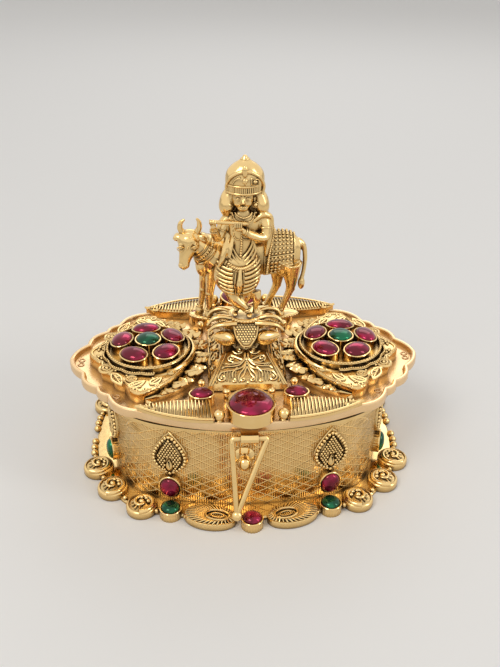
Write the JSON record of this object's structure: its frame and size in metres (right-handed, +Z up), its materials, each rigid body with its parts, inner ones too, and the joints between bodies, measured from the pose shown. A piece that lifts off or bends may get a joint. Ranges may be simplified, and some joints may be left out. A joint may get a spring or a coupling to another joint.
{
  "type": "sindoor box",
  "caption": "Oval gilt box with a hinged lid, red and green stones, feather wings and a flute player with a cow on a lotus.",
  "frame": {"origin": "middle of the underside, on the surface the box stands on", "axes": "+Z up, +X along the long side to the viewer's right, the clasp faces -Y"},
  "size_m": [0.08, 0.0685, 0.0702],
  "materials": {
    "gold": "polished gold plate with darkened recesses",
    "tray_gold": "smooth polished gold plate",
    "figure_gold": "polished cast gold plate",
    "pin_brass": "plain brass wire",
    "ruby": "polished red cabochon",
    "emerald": "polished green cabochon"
  },
  "bodies": {
    "box": {"base_plate": "gold", "body_wall": "gold", "rim_collar": "gold", "foot_rosettes": "gold", "foot_fans": "gold", "foot_ruby_bezels": "gold", "foot_rubies": "ruby", "foot_emerald_bezels": "gold", "foot_emeralds": "emerald", "wall_leaves": "gold", "wall_bezels": "gold", "wall_rubies": "ruby", "wall_emeralds": "emerald", "clasp_ball": "gold", "hinge_knuckles": "gold", "hinge_pin": "pin_brass"},
    "lid": {"lid_tray": "tray_gold", "lid_lip": "gold", "side_plateaus": "gold", "cluster_cups": "gold", "cluster_rubies": "ruby", "cluster_ruby_bezels": "gold", "cluster_emeralds": "emerald", "cluster_emerald_bezels": "gold", "scale_crescents": "gold", "feather_wings": "gold", "wing_bezels": "gold", "wing_rubies": "ruby", "drop_bezels": "gold", "drop_rubies": "ruby", "lid_beads": "gold", "saddle": "gold", "lotus_stem": "gold", "lotus_disc": "gold", "lotus_shields": "gold", "lotus_buds": "gold", "lotus_ledge": "gold", "flute_figure": "figure_gold", "flute": "figure_gold", "cow": "figure_gold", "lid_knuckle": "gold", "hasp_lug": "gold"},
    "hasp": {"hasp_loop": "gold", "hasp_ball": "gold"}
  },
  "joints": [
    {"name": "lid_hinge", "type": "hinge", "parent": "box", "child": "lid", "pos_m": [0, 0.0287, 0.0211], "axis": [-1, 0, 0], "range_deg": [0, 95]},
    {"name": "hasp_pivot", "type": "hinge", "parent": "lid", "child": "hasp", "pos_m": [-0.00055, -0.0285, 0.0203], "axis": [-1, 0, 0], "range_deg": [0, 75]}
  ]
}
